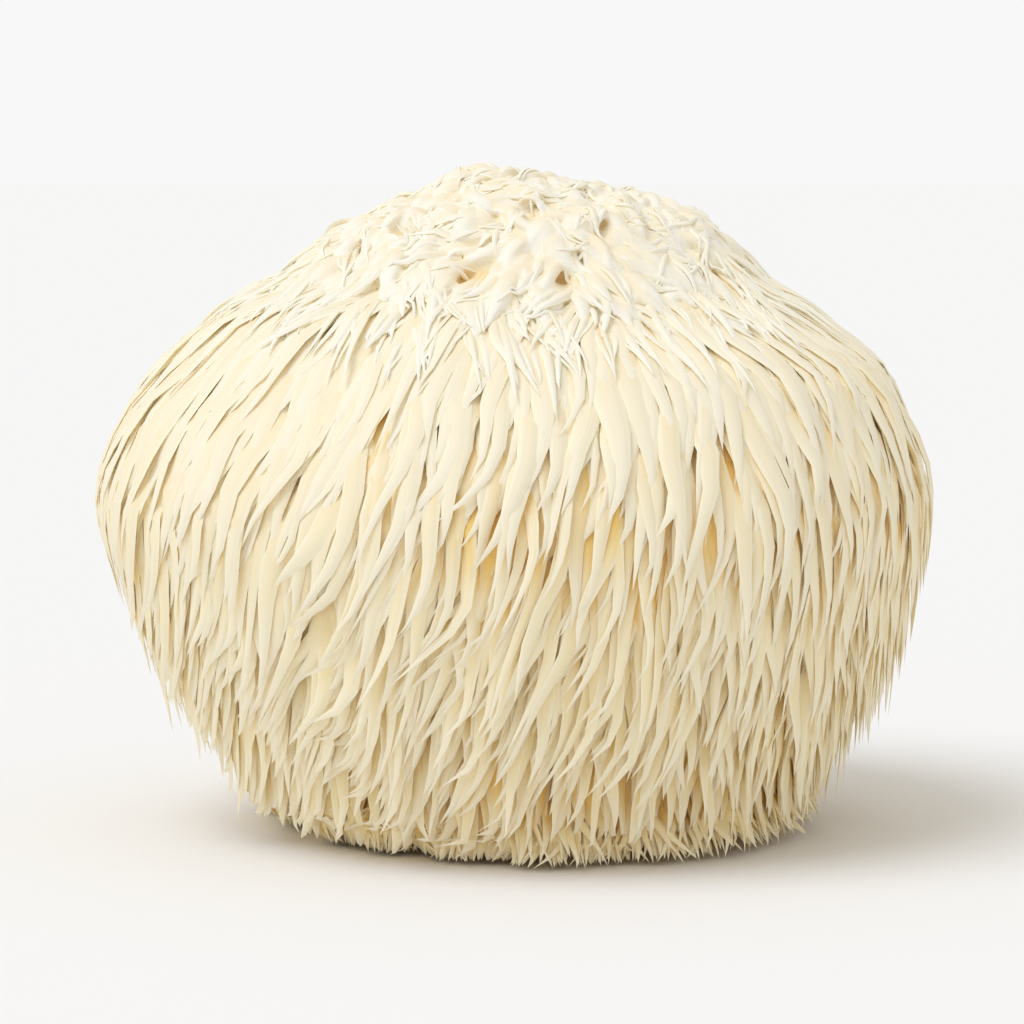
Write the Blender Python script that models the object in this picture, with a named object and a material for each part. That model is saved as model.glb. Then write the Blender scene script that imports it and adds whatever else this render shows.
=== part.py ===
"""A picked lion's mane mushroom, standing on the flat face where it was cut from its wood.

The mushroom grew as one piece, so it is one solid. Its outer surface runs through the tips of the
hanging spines. +Z is up, and the origin is the middle of the cut face, on the surface it stands on.
Run it with: blender --background --python part.py
"""

import math

import bmesh
import bpy
from mathutils import Vector, noise
from mathutils.geometry import interpolate_bezier

# Driving dimensions, in metres.
WIDTH = 0.140
DEPTH = 0.134
HEIGHT = 0.108

# The outline from the crown to the cut, as (share of half the width, share of the height).
OUTLINE = [
    (0.000, 1.000),
    (0.260, 0.975),
    (0.425, 0.922),
    (0.590, 0.840),
    (0.808, 0.735),
    (0.942, 0.618),
    (1.000, 0.490),
    (0.945, 0.355),
    (0.850, 0.235),
    (0.700, 0.060),
    (0.630, -0.030),
]
BEZIER_STEPS = 12

SIDES = 96
RINGS = 36

# Two kinds of relief: broad swellings of the flesh, and the locks that the spines hang in.
SWELLING_DEPTH = 0.0016
SWELLING_SIZE = 0.055
LOCK_DEPTH = 0.0016
LOCKS_ROUND = 34
LOCK_WAVES = 3.2
CROWN_LUMP_DEPTH = 0.0018
CROWN_LUMP_SIZE = 0.009
CROWN_REACH = 0.55

SPINE_CREAM = (0.83, 0.75, 0.57, 1.0)
SPINE_ROUGHNESS = 0.62


def clear_scene():
    for obj in list(bpy.data.objects):
        bpy.data.objects.remove(obj, do_unlink=True)


def smooth_outline():
    """The outline as many points on a smooth curve through OUTLINE, in metres from the axis and up."""
    points = [Vector((share * WIDTH / 2, height * HEIGHT, 0.0)) for share, height in OUTLINE]
    mirrored_start = Vector((-points[1].x, points[1].y, 0.0))
    beyond_end = points[-1] * 2 - points[-2]
    padded = [mirrored_start, *points, beyond_end]
    line = [points[0]]
    for before, start, end, after in zip(padded, padded[1:], padded[2:], padded[3:]):
        leave = start + (end - before) / 6
        arrive = end - (after - start) / 6
        line += interpolate_bezier(start, leave, arrive, end, BEZIER_STEPS)[1:]
    return line


def point_along(line, share):
    """The point at this share of the line's whole length."""
    lengths = [(b - a).length for a, b in zip(line, line[1:])]
    left = share * sum(lengths)
    for start, end, length in zip(line, line[1:], lengths):
        if left <= length:
            return start.lerp(end, left / length)
        left -= length
    return line[-1]


def relief(place, azimuth, share):
    """How far the surface stands out at a place, share being 0 at the crown and 1 at the cut."""
    swelling = noise.noise(place / SWELLING_SIZE) * SWELLING_DEPTH
    round_axis = LOCKS_ROUND / math.tau
    lock_place = Vector((math.cos(azimuth) * round_axis, math.sin(azimuth) * round_axis, share * LOCK_WAVES))
    lock = noise.noise(lock_place) * LOCK_DEPTH * min(1.0, share / CROWN_REACH)
    lump = noise.noise(place / CROWN_LUMP_SIZE) * CROWN_LUMP_DEPTH * max(0.0, 1.0 - share / CROWN_REACH)
    return swelling + lock + lump


def shape_on_outline(mesh):
    """Moves a unit sphere's points onto the turned outline, then out by the relief."""
    line = smooth_outline()
    for vertex in mesh.verts:
        share = math.acos(max(-1.0, min(1.0, vertex.co.z))) / math.pi
        azimuth = math.atan2(vertex.co.y, vertex.co.x)
        on_line = point_along(line, share)
        out_from_axis = on_line.x
        vertex.co = Vector((math.cos(azimuth) * out_from_axis, math.sin(azimuth) * out_from_axis, on_line.y))
    mesh.normal_update()
    moves = []
    for vertex in mesh.verts:
        share = max(0.0, 1.0 - vertex.co.z / HEIGHT)
        azimuth = math.atan2(vertex.co.y, vertex.co.x)
        moves.append(vertex.normal * relief(vertex.co, azimuth, share))
    for vertex, move in zip(mesh.verts, moves):
        vertex.co += move


def cut_foot(mesh):
    """Cuts the solid off flat at z = 0, where it grew on the wood."""
    everything = mesh.verts[:] + mesh.edges[:] + mesh.faces[:]
    bmesh.ops.bisect_plane(mesh, geom=everything, plane_co=(0, 0, 0), plane_no=(0, 0, -1), clear_outer=True)
    rim = [edge for edge in mesh.edges if edge.is_boundary]
    bmesh.ops.holes_fill(mesh, edges=rim, sides=0)
    bmesh.ops.recalc_face_normals(mesh, faces=mesh.faces[:])


def fit_to_size(mesh):
    """Brings the solid to its exact width, depth and height, centred on the axis."""
    low = Vector(min(v.co[i] for v in mesh.verts) for i in range(3))
    high = Vector(max(v.co[i] for v in mesh.verts) for i in range(3))
    middle = (low + high) / 2
    bmesh.ops.translate(mesh, vec=(-middle.x, -middle.y, 0), verts=mesh.verts[:])
    size = high - low
    bmesh.ops.scale(mesh, vec=(WIDTH / size.x, DEPTH / size.y, HEIGHT / size.z), verts=mesh.verts[:])


def spine_material():
    material = bpy.data.materials.new("spines_cream")
    material.use_nodes = True
    shader = material.node_tree.nodes["Principled BSDF"]
    shader.inputs["Base Color"].default_value = SPINE_CREAM
    shader.inputs["Roughness"].default_value = SPINE_ROUGHNESS
    shader.inputs["Metallic"].default_value = 0.0
    return material


def make_fruiting_body(collection):
    """The whole mushroom, from the crown to the cut, out to the tips of its spines."""
    shape = bmesh.new()
    bmesh.ops.create_uvsphere(shape, u_segments=SIDES, v_segments=RINGS, radius=1.0)
    shape_on_outline(shape)
    cut_foot(shape)
    fit_to_size(shape)
    data = bpy.data.meshes.new("fruiting_body")
    shape.to_mesh(data)
    shape.free()
    data.materials.append(spine_material())
    data.shade_smooth()
    data.set_sharp_from_angle(angle=math.radians(50))
    body = bpy.data.objects.new("fruiting_body", data)
    collection.objects.link(body)
    return body


def main():
    clear_scene()
    collection = bpy.data.collections.new("lions_mane_mushroom")
    bpy.context.scene.collection.children.link(collection)
    make_fruiting_body(collection)


main()
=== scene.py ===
"""The looks of a picked lion's mane mushroom: its flesh, hanging spines, curled crown and hem."""

import enum
import logging
import math
from dataclasses import dataclass, field

import bmesh
import bpy
import numpy as np
from mathutils import Matrix, Vector, interpolate, noise
from mathutils.bvhtree import BVHTree


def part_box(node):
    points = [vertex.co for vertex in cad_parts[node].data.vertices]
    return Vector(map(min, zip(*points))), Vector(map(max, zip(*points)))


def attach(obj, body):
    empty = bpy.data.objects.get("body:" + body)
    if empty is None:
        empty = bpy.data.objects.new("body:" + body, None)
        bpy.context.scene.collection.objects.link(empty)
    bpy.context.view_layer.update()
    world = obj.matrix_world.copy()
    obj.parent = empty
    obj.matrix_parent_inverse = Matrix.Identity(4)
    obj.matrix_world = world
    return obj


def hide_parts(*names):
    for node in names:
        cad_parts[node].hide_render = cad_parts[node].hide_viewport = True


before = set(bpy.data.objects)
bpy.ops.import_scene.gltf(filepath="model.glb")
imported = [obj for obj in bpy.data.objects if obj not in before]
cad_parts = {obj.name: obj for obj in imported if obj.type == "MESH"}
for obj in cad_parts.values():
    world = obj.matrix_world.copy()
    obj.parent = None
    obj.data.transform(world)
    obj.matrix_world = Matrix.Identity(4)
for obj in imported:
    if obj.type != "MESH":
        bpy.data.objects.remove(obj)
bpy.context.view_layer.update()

log = logging.getLogger("lions_mane")

BODY = "root"
BODY_NODE = "fruiting_body"
BAKE_MAP = "OFBake"
STRAND = "strand"
DEEP = "deep"
EDGE = "edge"
SEAM = "seam"
NUMBER = "NodeSocketFloat"
COLOUR = "NodeSocketColor"
MM = 0.001
GOLDEN_ANGLE = math.pi * (3.0 - math.sqrt(5.0))


# ---------------------------------------------------------------- helpers


def drift(points: np.ndarray, size: float, salt: float) -> np.ndarray:
    """Smooth noise from about -1 to 1 at points in space.

    Args:
        points: The points, in metres, as rows.
        size: How far apart the hills of the noise are, in metres.
        salt: Tells one field of noise from another.

    Returns:
        One value for each point.
    """
    shift = Vector((salt, -2.0 * salt, 0.5 * salt))
    return np.array([noise.noise(Vector(p) / size + shift) for p in points]) * 1.6


def unit(vectors: np.ndarray) -> np.ndarray:
    """Vectors brought to length 1, along the last axis."""
    return vectors / np.maximum(np.linalg.norm(vectors, axis=-1, keepdims=True), 1e-12)


def smooth_step(value: np.ndarray, low: float, high: float) -> np.ndarray:
    """A smooth ramp that is 0 below low and 1 above high."""
    share = np.clip((value - low) / (high - low), 0.0, 1.0)
    return share * share * (3.0 - 2.0 * share)


# ---------------------------------------------------------------- the outer surface


@dataclass
class Envelope:
    """The surface through the spine tips, read from the CAD solid, with ways to find a place on it.

    A place is an azimuth and a share: 0 at the crown and 1 where the surface meets the cut face.
    """

    turns: int = 192
    steps: int = 128
    rays: int = 260
    widest_polar: float = math.radians(150)
    centre_height: float = 0.46
    evening: int = 2
    left_swell: tuple[tuple[float, float], ...] = (
        (0.0, -0.7), (0.06, 0.8), (0.12, -2.5), (0.22, 0.1), (0.33, 2.7), (0.46, 1.9), (0.55, 0.7),
        (0.64, -3.8), (0.74, -5.0), (0.86, -3.8), (0.95, -1.4), (1.0, -0.3),
    )
    right_swell: tuple[tuple[float, float], ...] = (
        (0.0, -0.9), (0.04, 0.9), (0.10, -1.2), (0.20, 1.6), (0.30, 0.2), (0.38, 0.2), (0.45, 1.2),
        (0.53, -0.4), (0.60, -0.8), (0.76, -1.8), (0.86, -0.6), (0.95, 0.0), (1.0, 0.0),
    )
    points: np.ndarray = field(init=False)
    normals: np.ndarray = field(init=False)
    lengths: np.ndarray = field(init=False)
    tree: BVHTree = field(init=False)

    def __post_init__(self) -> None:
        """Reads the solid's outer surface by rays from a point on its axis."""
        low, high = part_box(BODY_NODE)
        centre = Vector((0.0, 0.0, low.z + self.centre_height * (high.z - low.z)))
        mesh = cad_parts[BODY_NODE].data
        self.tree = BVHTree.FromPolygons([v.co for v in mesh.vertices], [p.vertices for p in mesh.polygons])
        polars = np.linspace(0.0, self.widest_polar, self.rays)
        grid, lengths = [], []
        for azimuth in np.arange(self.turns) * math.tau / self.turns:
            meridian = self._meridian(centre, azimuth, polars)
            run = np.concatenate([[0.0], np.cumsum(np.linalg.norm(np.diff(meridian, axis=0), axis=1))])
            even = np.linspace(0.0, run[-1], self.steps)
            grid.append(np.stack([np.interp(even, run, meridian[:, i]) for i in range(3)], axis=1))
            lengths.append(run[-1])
        self.points = self._evened(np.array(grid))
        self.lengths = np.array(lengths)
        self.normals = self._find_normals()

    def _meridian(self, centre: Vector, azimuth: float, polars: np.ndarray) -> np.ndarray:
        """The points where rays in one upright half plane leave the solid, down to the cut face.

        Args:
            centre: Where the rays start.
            azimuth: The half plane's azimuth.
            polars: The rays' angles from straight up.

        Returns:
            The points as rows, from the crown down.
        """
        found = []
        for polar in polars:
            out = math.sin(polar)
            ray = Vector((out * math.cos(azimuth), out * math.sin(azimuth), math.cos(polar)))
            place = self.tree.ray_cast(centre, ray)[0]
            found.append(place)
            if place.z < 0.15 * MM:
                break
        return np.array(found)

    def _evened(self, grid: np.ndarray) -> np.ndarray:
        """The grid with its facets smoothed away.

        Args:
            grid: The points, by azimuth and step.

        Returns:
            The smoothed points.
        """
        for _ in range(self.evening):
            grid = (np.roll(grid, 1, 0) + 2.0 * grid + np.roll(grid, -1, 0)) / 4.0
            inner = (grid[:, :-2] + 2.0 * grid[:, 1:-1] + grid[:, 2:]) / 4.0
            grid = np.concatenate([grid[:, :1], inner, grid[:, -1:]], axis=1)
        return grid

    def _find_normals(self) -> np.ndarray:
        """Outward normals at the grid's points."""
        round_way = np.roll(self.points, -1, 0) - np.roll(self.points, 1, 0)
        down_way = np.gradient(self.points, axis=1)
        normals = unit(np.cross(down_way, round_way))
        normals[:, 0] = unit(normals[:, 1].mean(axis=0))
        return normals

    def _mix(self, table: np.ndarray, azimuth: np.ndarray, share: np.ndarray) -> np.ndarray:
        """A table's values at places between its points.

        Args:
            table: Values by azimuth and step.
            azimuth: The places' azimuths.
            share: The places' shares.

        Returns:
            The values, mixed from the four nearest.
        """
        column = np.mod(azimuth / math.tau, 1.0) * self.turns
        row = np.clip(share, 0.0, 1.0) * (self.steps - 1)
        left = np.floor(column).astype(int)
        top = np.minimum(np.floor(row).astype(int), self.steps - 2)
        across, down = (column - left)[..., None], (row - top)[..., None]
        left, right = left % self.turns, (left + 1) % self.turns
        upper = table[left, top] * (1 - across) + table[right, top] * across
        lower = table[left, top + 1] * (1 - across) + table[right, top + 1] * across
        return upper * (1 - down) + lower * down

    def place(
        self, azimuth: np.ndarray, share: np.ndarray, depth: np.ndarray,
    ) -> tuple[np.ndarray, np.ndarray]:
        """Points at a depth below the surface, and the surface's normals there.

        Args:
            azimuth: The azimuths, in radians.
            share: The shares of the way from the crown to the cut face.
            depth: How deep below the surface each point is, in metres, less than 0 outside it.

        Returns:
            The points and the normals, each with three numbers along the last axis.
        """
        normal = unit(self._mix(self.normals, azimuth, share))
        out = self.swell(azimuth, share) - depth
        return self._mix(self.points, azimuth, share) + normal * out[..., None], normal

    def swell(self, azimuth: np.ndarray, share: np.ndarray) -> np.ndarray:
        """How far the two sides, which aren't alike, stand out from the solid at some places.

        Args:
            azimuth: The places' azimuths.
            share: The places' shares.

        Returns:
            The distances, in metres, less than 0 where a side lies inside the solid.
        """
        left, right = np.array(self.left_swell), np.array(self.right_swell)
        leftward = np.clip(-np.cos(azimuth), 0.0, 1.0) * np.interp(share, left[:, 0], left[:, 1])
        rightward = np.clip(np.cos(azimuth), 0.0, 1.0) * np.interp(share, right[:, 0], right[:, 1])
        return (leftward + rightward) * MM

    def length(self, azimuth: np.ndarray) -> np.ndarray:
        """The distance along the surface from the crown to the cut face, at some azimuths."""
        column = np.mod(azimuth / math.tau, 1.0) * self.turns
        return np.interp(column, np.arange(self.turns + 1), np.append(self.lengths, self.lengths[0]))

    def spread(self, count: int, top: float, bottom: float, seed: int) -> tuple[np.ndarray, np.ndarray]:
        """Places spread evenly by area over a band of the surface, in a spiral with a little scatter.

        Args:
            count: How many places.
            top: The share where the band starts.
            bottom: The share where it ends.
            seed: Seeds the scatter.

        Returns:
            The azimuths and the shares.
        """
        rng = np.random.default_rng(seed)
        shares = np.linspace(top, bottom, 200)
        rings = np.interp(shares, np.linspace(0, 1, self.steps), self.ring_radii())
        area = np.concatenate([[0.0], np.cumsum((rings[1:] + rings[:-1]) / 2.0)])
        order = (np.arange(count) + rng.uniform(0.0, 1.0, count)) / count
        share = np.interp(order * area[-1], area, shares)
        azimuth = np.arange(count) * GOLDEN_ANGLE + rng.uniform(-0.5, 0.5, count) * 2.4 / math.sqrt(count)
        return azimuth, share

    def depth_at(self, places: list[Vector]) -> np.ndarray:
        """How deep points lie below the surface.

        Args:
            places: The points.

        Returns:
            The depths, in metres, less than 0 outside it.
        """
        found = []
        for place in places:
            near, normal, _, apart = self.tree.find_nearest(place)
            found.append(-math.copysign(apart, (place - near).dot(normal)))
        return np.array(found)

    def ring_radii(self) -> np.ndarray:
        """The mean distance from the axis at each step down the surface."""
        return np.hypot(self.points[..., 0], self.points[..., 1]).mean(axis=0)


# ---------------------------------------------------------------- strands


@dataclass(frozen=True)
class StrandShape:
    """One straight strand, one unit long, that is copied and bent to make every spine.

    Its section is a lens: two thin edges and a full middle.
    """

    sides: int = 6
    stations: tuple[float, ...] = (0.0, 0.14, 0.28, 0.42, 0.56, 0.69, 0.80, 0.90, 1.0)

    def model(self) -> bpy.types.Mesh:
        """Extrudes the section from the root to the tip, with a bake map of one unrolled strip."""
        shape = bmesh.new()
        bmesh.ops.create_circle(shape, cap_ends=True, segments=self.sides, radius=1.0)
        bmesh.ops.rotate(shape, verts=shape.verts[:], matrix=Matrix.Rotation(math.radians(90), 3, "Z"))
        ring = shape.edges[:]
        for before, after in zip(self.stations, self.stations[1:]):
            made = bmesh.ops.extrude_edge_only(shape, edges=ring)["geom"]
            ring = [e for e in made if isinstance(e, bmesh.types.BMEdge)]
            corners = [v for v in made if isinstance(v, bmesh.types.BMVert)]
            bmesh.ops.translate(shape, vec=(0, 0, after - before), verts=corners)
        bmesh.ops.pointmerge(shape, verts=corners, merge_co=(0, 0, self.stations[-1]))
        bmesh.ops.recalc_face_normals(shape, faces=shape.faces[:])
        self._unroll(shape)
        mesh = bpy.data.meshes.new("strand_shape")
        shape.to_mesh(mesh)
        shape.free()
        return mesh

    def _unroll(self, shape: bmesh.types.BMesh) -> None:
        """Writes the bake map: round the strand across, along the strand up."""
        layer = shape.loops.layers.uv.new(BAKE_MAP)
        for face in shape.faces:
            middle = face.calc_center_median()
            facing = math.atan2(middle.y, middle.x)
            for loop in face.loops:
                x, y, z = loop.vert.co
                off_axis = math.hypot(x, y) > 1e-6
                turn = math.remainder(math.atan2(y, x) - facing, math.tau) if off_axis else 0.0
                on_root = len(face.verts) == self.sides
                end, strip = (0.5 + 0.3 * x, 0.02 + 0.02 * y), (0.5 + (facing + turn) / math.tau, z)
                loop[layer].uv = end if on_root else strip


@dataclass
class Strands:
    """Many strands along paths, joined in one mesh."""

    shape: StrandShape
    points: np.ndarray
    normals: np.ndarray
    half_widths: np.ndarray
    flatness: np.ndarray
    rolls: np.ndarray
    depths: np.ndarray
    tones: np.ndarray
    taper_from: float = 0.52
    taper_power: float = 0.8
    root_width: float = 0.62
    deepest: float = 7.0 * MM
    strip_columns: int = 150
    blade_edge: float = math.radians(65)

    def chosen(self, keep: np.ndarray) -> "Strands":
        """The strands that a mask or index picks out."""
        return Strands(
            self.shape, self.points[keep], self.normals[keep], self.half_widths[keep], self.flatness[keep],
            self.rolls[keep], self.depths[keep], self.tones[keep],
            self.taper_from, self.taper_power, self.root_width,
        )

    def beside(self, other: "Strands") -> "Strands":
        """These strands and some others, with this set's taper."""
        pairs = [
            np.concatenate([getattr(self, name), getattr(other, name)])
            for name in ("points", "normals", "half_widths", "flatness", "rolls", "depths", "tones")
        ]
        return Strands(self.shape, *pairs, self.taper_from, self.taper_power, self.root_width)

    def _profile(self) -> np.ndarray:
        """The share of the full width at each station, from the root to the tip."""
        along = np.array(self.shape.stations)
        swell = np.minimum(1.0, self.root_width + 1.4 * (1.0 - self.root_width) * along / 0.5)
        left = np.clip((1.0 - along) / (1.0 - self.taper_from), 0.0, 1.0)
        return swell * left**self.taper_power

    def make(self, name: str) -> bpy.types.Object:
        """Bends a copy of the shape along each path and joins the copies.

        Args:
            name: The piece's name.

        Returns:
            The piece.
        """
        proto = self.shape.model()
        corner = np.zeros(len(proto.vertices) * 3)
        proto.vertices.foreach_get("co", corner)
        corner = corner.reshape(-1, 3)
        station = np.abs(corner[:, 2:3] - np.array(self.shape.stations)[None, :]).argmin(axis=1)
        ahead = unit(np.gradient(self.points, axis=1))
        side = unit(np.cross(ahead, self.normals))
        face = np.cross(side, ahead)
        turn = self.rolls[..., None]
        across = side * np.cos(turn) + face * np.sin(turn)
        outward = face * np.cos(turn) - side * np.sin(turn)
        wide = self.half_widths[:, None] * self._profile()[None, :]
        thick = wide * self.flatness[:, None]
        co = (
            self.points[:, station]
            + across[:, station] * (wide[:, station] * corner[None, :, 0])[..., None]
            + outward[:, station] * (thick[:, station] * corner[None, :, 1])[..., None]
        )
        piece = self._joined(proto, co.reshape(-1, 3), name)
        self._note(piece.data, corner, station)
        bpy.data.meshes.remove(proto)
        return piece

    def _joined(self, proto: bpy.types.Mesh, co: np.ndarray, name: str) -> bpy.types.Object:
        """One object that holds every copy, with its own strip of the bake map for each.

        Args:
            proto: The straight shape.
            co: The points of every copy, as rows.
            name: The piece's name.

        Returns:
            The piece.
        """
        count, size = len(self.points), len(proto.vertices)
        loop_vertex = np.zeros(len(proto.loops), np.int32)
        proto.loops.foreach_get("vertex_index", loop_vertex)
        starts = np.zeros(len(proto.polygons), np.int32)
        proto.polygons.foreach_get("loop_start", starts)
        strip = np.zeros(len(proto.loops) * 2)
        proto.uv_layers[BAKE_MAP].data.foreach_get("uv", strip)
        strip = strip.reshape(-1, 2)
        copies = np.arange(count)[:, None]
        mesh = bpy.data.meshes.new(name)
        mesh.vertices.add(count * size)
        mesh.vertices.foreach_set("co", co.ravel())
        mesh.loops.add(count * len(loop_vertex))
        loop_vertices = (loop_vertex[None, :] + copies * size).ravel().astype(np.int32)
        mesh.loops.foreach_set("vertex_index", loop_vertices)
        mesh.polygons.add(count * len(starts))
        loop_starts = (starts[None, :] + copies * len(loop_vertex)).ravel().astype(np.int32)
        mesh.polygons.foreach_set("loop_start", loop_starts)
        rows = math.ceil(count / self.strip_columns)
        cell = np.stack([copies[:, 0] % self.strip_columns, copies[:, 0] // self.strip_columns], axis=1)
        inside = np.array([0.08, 0.04]) + strip * np.array([0.84, 0.92])
        laid = (cell[:, None, :] + inside[None, :, :]) / np.array([self.strip_columns, rows])
        mesh.uv_layers.new(name=BAKE_MAP).data.foreach_set("uv", laid.ravel())
        mesh.update(calc_edges=True)
        mesh.validate()
        mesh.shade_smooth()
        mesh.set_sharp_from_angle(angle=self.blade_edge)
        piece = bpy.data.objects.new(name, mesh)
        bpy.context.scene.collection.objects.link(piece)
        return piece

    def _note(self, mesh: bpy.types.Mesh, corner: np.ndarray, station: np.ndarray) -> None:
        """Writes what the finish reads: how far across and along each point lies, its tone, depth and edge.

        Args:
            mesh: The joined mesh.
            corner: The straight shape's points.
            station: The station that each of those points belongs to.
        """
        count, size = len(self.points), len(corner)
        noted = np.empty((count, size, 3), np.float32)
        noted[..., 0] = corner[None, :, 0] * self.half_widths[:, None] / MM
        noted[..., 1] = corner[None, :, 2]
        noted[..., 2] = self.tones[:, None]
        mesh.attributes.new(STRAND, "FLOAT_VECTOR", "POINT").data.foreach_set("vector", noted.ravel())
        deep = np.clip(self.depths / self.deepest, 0.0, 1.0)[:, station]
        mesh.attributes.new(DEEP, "FLOAT", "POINT").data.foreach_set("value", deep.astype(np.float32).ravel())
        edge = np.tile(np.abs(corner[:, 0]), count).astype(np.float32)
        mesh.attributes.new(EDGE, "FLOAT", "POINT").data.foreach_set("value", edge)


# ---------------------------------------------------------------- finishes


class Tree:
    """A material's or group's nodes, with short ways to add and join them."""

    def __init__(self, tree: bpy.types.NodeTree) -> None:
        """Starts on an empty tree."""
        self.tree = tree
        self.tree.nodes.clear()

    def add(self, kind: str, **settings: object) -> bpy.types.Node:
        """A new node with some of its settings."""
        node = self.tree.nodes.new(kind)
        for name, value in settings.items():
            setattr(node, name, value)
        return node

    def join(self, source: bpy.types.NodeSocket, target: bpy.types.NodeSocket) -> None:
        """Links one socket to another."""
        self.tree.links.new(source, target)

    def feed(self, target: bpy.types.NodeSocket, value: object) -> None:
        """Links a socket, or sets a plain value."""
        if isinstance(value, bpy.types.NodeSocket):
            self.join(value, target)
        else:
            target.default_value = value

    def maths(self, operation: str, *values: object, clamp: bool = False) -> bpy.types.NodeSocket:
        """The result of a Math node on sockets or numbers."""
        node = self.add("ShaderNodeMath", operation=operation, use_clamp=clamp)
        for socket, value in zip(node.inputs, values):
            self.feed(socket, value)
        return node.outputs[0]

    def blend(self, share: object, first: object, second: object) -> bpy.types.NodeSocket:
        """Two colours mixed by a share.

        Args:
            share: How much of the second, from 0 to 1.
            first: The first colour, as a socket or a value.
            second: The second colour.

        Returns:
            The mixed colour's socket.
        """
        node = self.add("ShaderNodeMix", data_type="RGBA", blend_type="MIX")
        self.feed(node.inputs["Factor"], share)
        self.feed(node.inputs[6], first)
        self.feed(node.inputs[7], second)
        return node.outputs[2]

    def ramp(self, value: bpy.types.NodeSocket, start: float, end: float) -> bpy.types.NodeSocket:
        """A smooth change from 0 where a value is at its start to 1 at its end.

        Args:
            value: The value's socket.
            start: The value that gives 0.
            end: The value that gives 1, more or less than the start.

        Returns:
            The change's socket.
        """
        node = self.add("ShaderNodeMapRange", interpolation_type="SMOOTHSTEP")
        self.join(value, node.inputs["Value"])
        node.inputs["From Min"].default_value = start
        node.inputs["From Max"].default_value = end
        return node.outputs[0]

    def spots(self, place: bpy.types.NodeSocket, scale: float, detail: float) -> bpy.types.NodeSocket:
        """Noise from 0 to 1 at a place.

        Args:
            place: The place's socket.
            scale: How fine the noise is.
            detail: How many finer layers it has.

        Returns:
            The noise's socket.
        """
        node = self.add("ShaderNodeTexNoise")
        self.join(place, node.inputs["Vector"])
        node.inputs["Scale"].default_value = scale
        node.inputs["Detail"].default_value = detail
        return node.outputs["Fac"]


def colour(red: float, green: float, blue: float) -> tuple[float, float, float, float]:
    """An opaque colour."""
    return (red, green, blue, 1.0)


def new_group(
    name: str, inputs: dict[str, str], outputs: dict[str, str],
) -> tuple[Tree, bpy.types.Node, bpy.types.Node]:
    """A shader node group with named sockets.

    Args:
        name: The group's name.
        inputs: Socket types by input name.
        outputs: Socket types by output name.

    Returns:
        The group's tree, its input node and its output node.
    """
    group = bpy.data.node_groups.new(name, "ShaderNodeTree")
    for socket, kind in inputs.items():
        group.interface.new_socket(socket, in_out="INPUT", socket_type=kind)
    for socket, kind in outputs.items():
        group.interface.new_socket(socket, in_out="OUTPUT", socket_type=kind)
    tree = Tree(group)
    return tree, tree.add("NodeGroupInput"), tree.add("NodeGroupOutput")


def fibre_group() -> bpy.types.NodeTree:
    """The fine grooves that run along a strand, as a height and a mask."""
    tree, given, made = new_group(
        "fibre_grooves",
        {"Across": NUMBER, "Along": NUMBER, "Tone": NUMBER, "Fibres": NUMBER},
        {"Height": NUMBER, "Mask": NUMBER},
    )
    place = tree.add("ShaderNodeCombineXYZ")
    tree.join(tree.maths("MULTIPLY", given.outputs["Across"], given.outputs["Fibres"]), place.inputs[0])
    tree.join(tree.maths("MULTIPLY", given.outputs["Along"], 1.6), place.inputs[1])
    tree.join(tree.maths("MULTIPLY", given.outputs["Tone"], 91.0), place.inputs[2])
    groove = tree.spots(place.outputs[0], 1.0, 2.5)
    tree.join(groove, made.inputs["Height"])
    span = tree.add("ShaderNodeMapRange")
    tree.join(groove, span.inputs["Value"])
    span.inputs["From Min"].default_value = 0.35
    span.inputs["From Max"].default_value = 0.65
    tree.join(span.outputs[0], made.inputs["Mask"])
    return tree.tree


def tint_group() -> bpy.types.NodeTree:
    """The mushroom's colour with painted shade: pale above and at the tips, painted shade that is warmer low
    down, and golden painted shade at the roots and deep inside, in the gaps between spines.
    """
    tree, given, made = new_group(
        "flesh_tint",
        {"Deep": NUMBER, "Along": NUMBER, "Tone": NUMBER,
         "Pale": COLOUR, "Warm": COLOUR, "Low": COLOUR, "Golden": COLOUR},
        {"Color": COLOUR},
    )
    place = tree.add("ShaderNodeTexCoord").outputs["Object"]
    axes = tree.add("ShaderNodeSeparateXYZ")
    tree.join(place, axes.inputs[0])
    patches = tree.spots(place, 38.0, 2.0)
    warmth = tree.maths("MULTIPLY_ADD", given.outputs["Tone"], 0.45, tree.maths("MULTIPLY", patches, 0.5))
    warmth = tree.maths("SUBTRACT", warmth, 0.15, clamp=True)
    top = tree.blend(warmth, given.outputs["Pale"], given.outputs["Warm"])
    # Painted shade: darker, warmer colour toward the bottom, less of it at the spine tips.
    low_shade = tree.ramp(axes.outputs["Z"], 0.092, 0.006)
    tipped = tree.maths("MULTIPLY", tree.ramp(given.outputs["Along"], 0.6, 1.0), 0.75)
    low_shade = tree.maths("MULTIPLY", low_shade, tree.maths("SUBTRACT", 1.0, tipped))
    base = tree.blend(low_shade, top, given.outputs["Low"])
    # Painted shade: golden toward the roots and where a point lies deep under the surface, in the gaps
    # between spines.
    rooted = tree.maths("MULTIPLY", tree.ramp(given.outputs["Along"], 0.85, 0.2), 0.36)
    buried = tree.ramp(given.outputs["Deep"], 0.14, 0.64)
    gap_shade = tree.maths("ADD", tree.maths("MULTIPLY", buried, 0.9), rooted, clamp=True)
    tree.join(tree.blend(gap_shade, base, given.outputs["Golden"]), made.inputs["Color"])
    return tree.tree


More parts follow.
